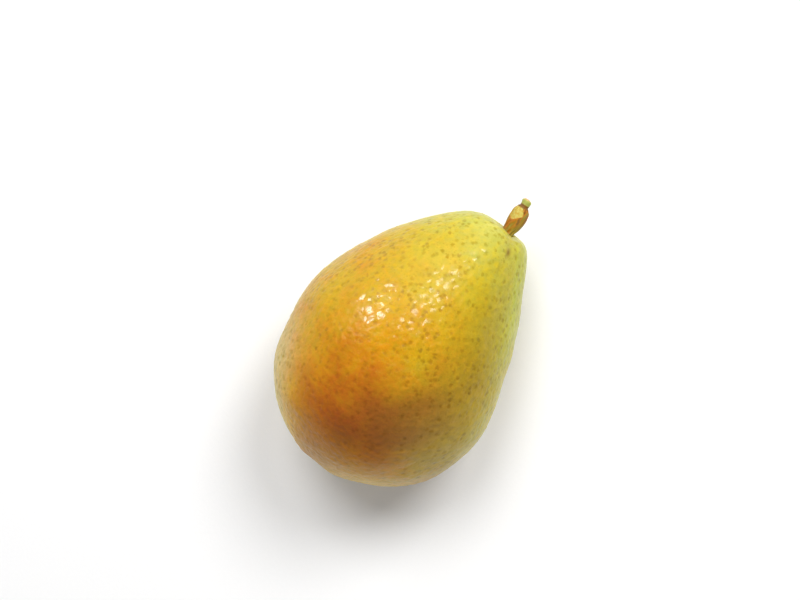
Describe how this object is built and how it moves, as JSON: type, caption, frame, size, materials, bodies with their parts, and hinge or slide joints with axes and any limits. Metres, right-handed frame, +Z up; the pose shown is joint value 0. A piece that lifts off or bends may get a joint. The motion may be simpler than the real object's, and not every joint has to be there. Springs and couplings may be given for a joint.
{
  "type": "pear",
  "caption": "Whole ripe pear lying on its side, yellow with a red-brown blush, with its stem and the dried sepals of its calyx.",
  "frame": {"origin": "middle of the flat resting spot under the belly", "axes": "+Z up, +X towards the stem end, +Y to the side that the neck leans to"},
  "size_m": [0.0993, 0.0679, 0.0668],
  "materials": {
    "pear_skin": "waxy pear skin, green yellow to amber with a red-brown blush and small brown lenticels",
    "stem_wood": "rough brown bark with a pale peeled patch and a greenish tip",
    "dry_sepal": "dry dark brown leaf, matte"
  },
  "bodies": {
    "root": {"fruit": "pear_skin", "stem": "stem_wood", "sepal_1": "dry_sepal", "sepal_2": "dry_sepal", "sepal_3": "dry_sepal", "sepal_4": "dry_sepal", "sepal_5": "dry_sepal"}
  },
  "joints": []
}
